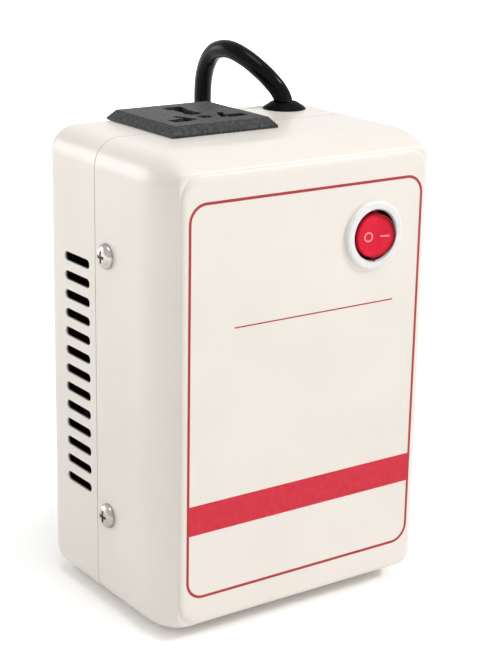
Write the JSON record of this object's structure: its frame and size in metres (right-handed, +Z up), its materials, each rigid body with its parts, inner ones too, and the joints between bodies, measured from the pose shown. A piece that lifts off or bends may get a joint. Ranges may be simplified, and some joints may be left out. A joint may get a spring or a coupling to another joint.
{
  "type": "travel voltage converter",
  "caption": "Upright two-shell steel voltage converter with a universal outlet on top, a round rocker switch, side vents, a transformer inside and a mains lead with plug.",
  "frame": {"origin": "on the floor under the middle of the converter's body, lead left out", "axes": "+Z up, front panel towards -Y, switch side towards +X"},
  "size_m": [0.1781, 0.1961, 0.1847],
  "materials": {
    "case_paint": "ivory gloss paint",
    "screw_nickel": "bright nickel plate",
    "nut_steel": "zinc-plated steel",
    "foot_rubber": "matt black rubber",
    "outlet_grey": "fine-textured dark grey moulding",
    "base_plastic": "matt thermoset moulding",
    "contact_brass": "plain brass strip",
    "switch_white": "gloss white moulding",
    "rocker_red": "clear red gloss moulding",
    "plunger_nylon": "natural nylon",
    "lever_copper": "copper alloy strip",
    "terminal_tin": "tinned strip",
    "lamp_glass": "clear glass",
    "gland_rubber": "black rubber",
    "cord_black": "gloss black sheath",
    "core_steel": "laminated sheet steel",
    "frame_zinc": "zinc-plated sheet steel",
    "bobbin_nylon": "dark green moulding",
    "winding_copper": "enamelled copper wire",
    "tape_yellow": "yellow polyester tape",
    "fuse_cream": "ceramic body",
    "wire_brown": "brown sheath",
    "wire_blue": "blue sheath",
    "wire_red": "red sheath",
    "plug_black": "satin black moulding",
    "tie_black": "flat black band",
    "pin_nickel": "nickel-plated brass"
  },
  "bodies": {
    "converter": {"front_shell": "case_paint", "rear_shell": "case_paint", "case_screws": "screw_nickel", "case_nuts": "nut_steel", "feet": "foot_rubber", "socket_plate": "outlet_grey", "socket_base": "base_plastic", "socket_screw": "screw_nickel", "live_contact": "contact_brass", "neutral_contact": "contact_brass", "earth_contact": "contact_brass", "switch_body": "switch_white", "switch_terminals": "terminal_tin", "switch_lamp": "lamp_glass", "cord_gland": "gland_rubber", "cord_end": "cord_black", "core_e": "core_steel", "core_i": "core_steel", "bobbin": "bobbin_nylon", "winding": "winding_copper", "winding_tape": "tape_yellow", "core_frame": "frame_zinc", "frame_screws": "screw_nickel", "frame_nuts": "nut_steel", "thermal_fuse": "fuse_cream", "live_wire": "wire_brown", "neutral_wire": "wire_blue", "switch_wire": "wire_brown", "output_live_wire": "wire_red", "output_neutral_wire": "wire_blue", "cord_lead": "cord_black", "cord_coil": "cord_black", "cord_tail": "cord_black", "cord_tie": "tie_black", "plug_body": "plug_black", "plug_relief": "plug_black", "plug_pins": "pin_nickel"},
    "rocker": {"switch_rocker": "rocker_red", "switch_plunger": "plunger_nylon"},
    "lever": {"switch_lever": "lever_copper"}
  },
  "joints": [
    {"name": "rocker_tilt", "type": "hinge", "parent": "converter", "child": "rocker", "pos_m": [0.026, -0.03817, 0.1301], "axis": [0, 0, 1], "range_deg": [0, 24]},
    {"name": "lever_rock", "type": "hinge", "parent": "converter", "child": "lever", "pos_m": [0.026, -0.02877, 0.1301], "axis": [0, 0, 1], "range_deg": [-12, 0]}
  ],
  "couplings": [
    {"joint": "lever_rock", "follows": "rocker_tilt", "ratio": -0.5}
  ]
}
